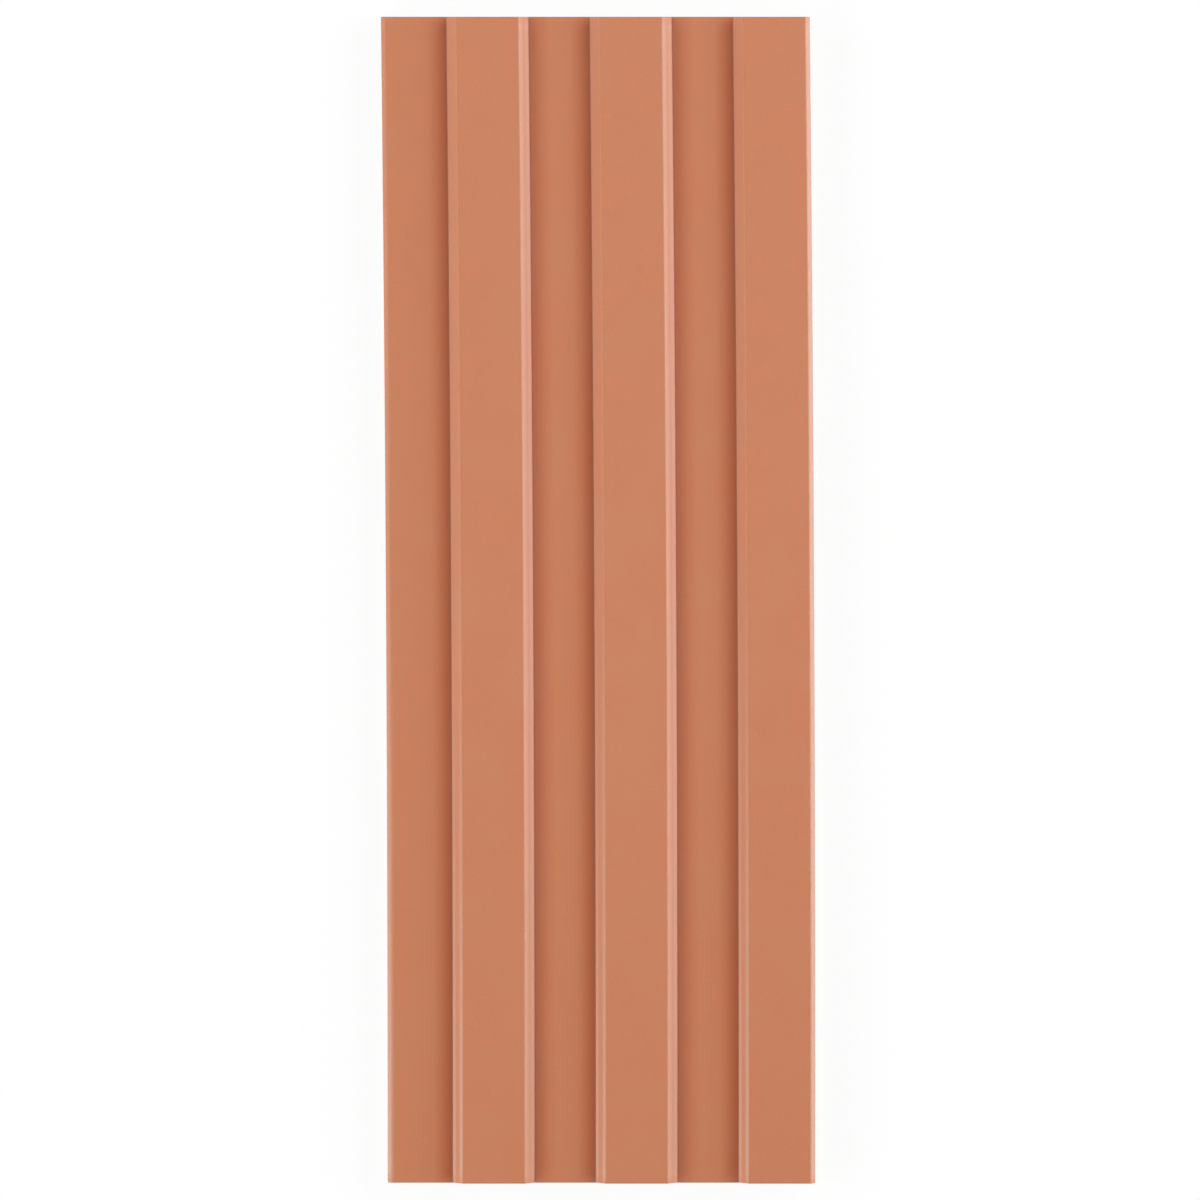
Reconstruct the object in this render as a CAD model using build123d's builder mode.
from build123d import *
from math import radians, tan
import os

# A fluted porcelain wall tile, pressed and fired as one piece.
# It lies on its back, with X across the flutes, Y along them and Z out of the face.
# The origin is the middle of the back, in the plane of the keying ridges. Sizes are millimetres.

# Work size of the tile. The base is measured from the back to the floor of a groove.
tile_width = 145.0
tile_length = 395.0
base_thickness = 8.5

# Section across the flutes. The ribs are counted from the left, where a groove starts at the tile's edge.
# The flank angle is measured between a groove's floor and the drafted side of a rib.
first_groove_width = 22.1
rib_pitch = 48.5
rib_top_width = 21.1
rib_height = 4.0
flank_angle = 50.0
least_rib_top = 5.0

# Rounded lines of the glazed face and chamfered edge of the back
shoulder_radius = 1.2
foot_radius = 0.5
side_arris_radius = 1.5
end_arris_radius = 0.8
back_chamfer = 0.6

# Keying grid pressed into the back: shallow pockets between ridges, inside a plain border
back_border = 7.0
pocket_size = 29.5
ridge_width = 3.0
pocket_depth = 0.7
pocket_corner_radius = 2.5
pocket_draft_angle = 20.0

# Shares of a wall that a rounding may take up, so that neighbouring roundings never meet,
# and the distance under which two points count as one place
ledge_share = 0.9
radius_share = 0.75
same_place = 0.001

# Sizes that follow from the ones above
full_thickness = base_thickness + rib_height
flank_run = rib_height / tan(radians(flank_angle))
rib_foot_width = rib_top_width + 2 * flank_run
first_rib_x = -tile_width / 2 + first_groove_width + rib_foot_width / 2
last_rib_room = tile_width - first_groove_width - flank_run - least_rib_top
rib_count = int(last_rib_room / rib_pitch) + 1
rib_places = [(first_rib_x + rib_pitch * index, base_thickness) for index in range(rib_count)]
side_arrises = []

os.makedirs("parts", exist_ok=True)

with BuildPart() as fluted_tile:
    # The section: a base plate that carries the ribs. It is drawn wider than the tile, its shoulders and feet
    # are rounded, and then the tile's sides cut it. The right side cuts through the last rib's outer flank.
    with BuildSketch(Plane.XZ) as section:
        Rectangle(tile_width + 2 * rib_pitch, base_thickness, align=(Align.CENTER, Align.MIN))
        with Locations(*rib_places):
            Trapezoid(rib_foot_width, rib_height, flank_angle, align=(Align.CENTER, Align.MIN))
        fillet(section.vertices().group_by(Axis.Y)[-1], shoulder_radius)
        feet = section.vertices().filter_by(lambda vertex: abs(vertex.Y - base_thickness) < same_place)
        fillet(feet.sort_by(Axis.X)[1:-1], foot_radius)
        Rectangle(tile_width, full_thickness, align=(Align.CENTER, Align.MIN), mode=Mode.INTERSECT)
        for side in (0, -1):
            corner = section.vertices().group_by(Axis.X)[side].sort_by(Axis.Y)[-1]
            ledge = min(edge.length for edge in section.edges() if corner in edge.vertices())
            side_arrises.append(min(side_arris_radius, ledge * ledge_share))
            fillet(corner, side_arrises[-1])
    extrude(amount=tile_length / 2, both=True)

    # The back is chamfered while its outline is still four straight lines.
    back = fluted_tile.faces().sort_by(Axis.Z)[0]
    chamfer(back.edges(), back_chamfer)

    # The arris of both ends runs up the plan corners and over every rib and groove as one rounded line.
    end_arris = min(end_arris_radius, radius_share * min(shoulder_radius, *side_arrises))
    ends = fluted_tile.faces().filter_by(Axis.Y)
    fillet(ends.edges().filter_by(lambda edge: edge.center().Z > back_chamfer + same_place), end_arris)

    # The keying grid has as many pockets as fit between the borders, and their size takes up what is left over.
    grid_step = pocket_size + ridge_width
    columns = round((tile_width - 2 * back_border + ridge_width) / grid_step)
    rows = round((tile_length - 2 * back_border + ridge_width) / grid_step)
    column_step = (tile_width - 2 * back_border + ridge_width) / columns
    row_step = (tile_length - 2 * back_border + ridge_width) / rows
    with BuildSketch(Plane.XY) as keying_grid:
        with GridLocations(column_step, row_step, columns, rows):
            RectangleRounded(column_step - ridge_width, row_step - ridge_width, pocket_corner_radius)
    extrude(amount=pocket_depth, taper=pocket_draft_angle, mode=Mode.SUBTRACT)

fluted_tile.part.label = "fluted_tile"
export_step(fluted_tile.part, "parts/fluted_tile.step")

print("ribs", rib_count, "foot width", round(rib_foot_width, 2), "flank run", round(flank_run, 2))
print("side arrises", side_arrises, "end arris", end_arris)
print("keying pockets", columns, "x", rows, "volume", round(fluted_tile.part.volume, 1))
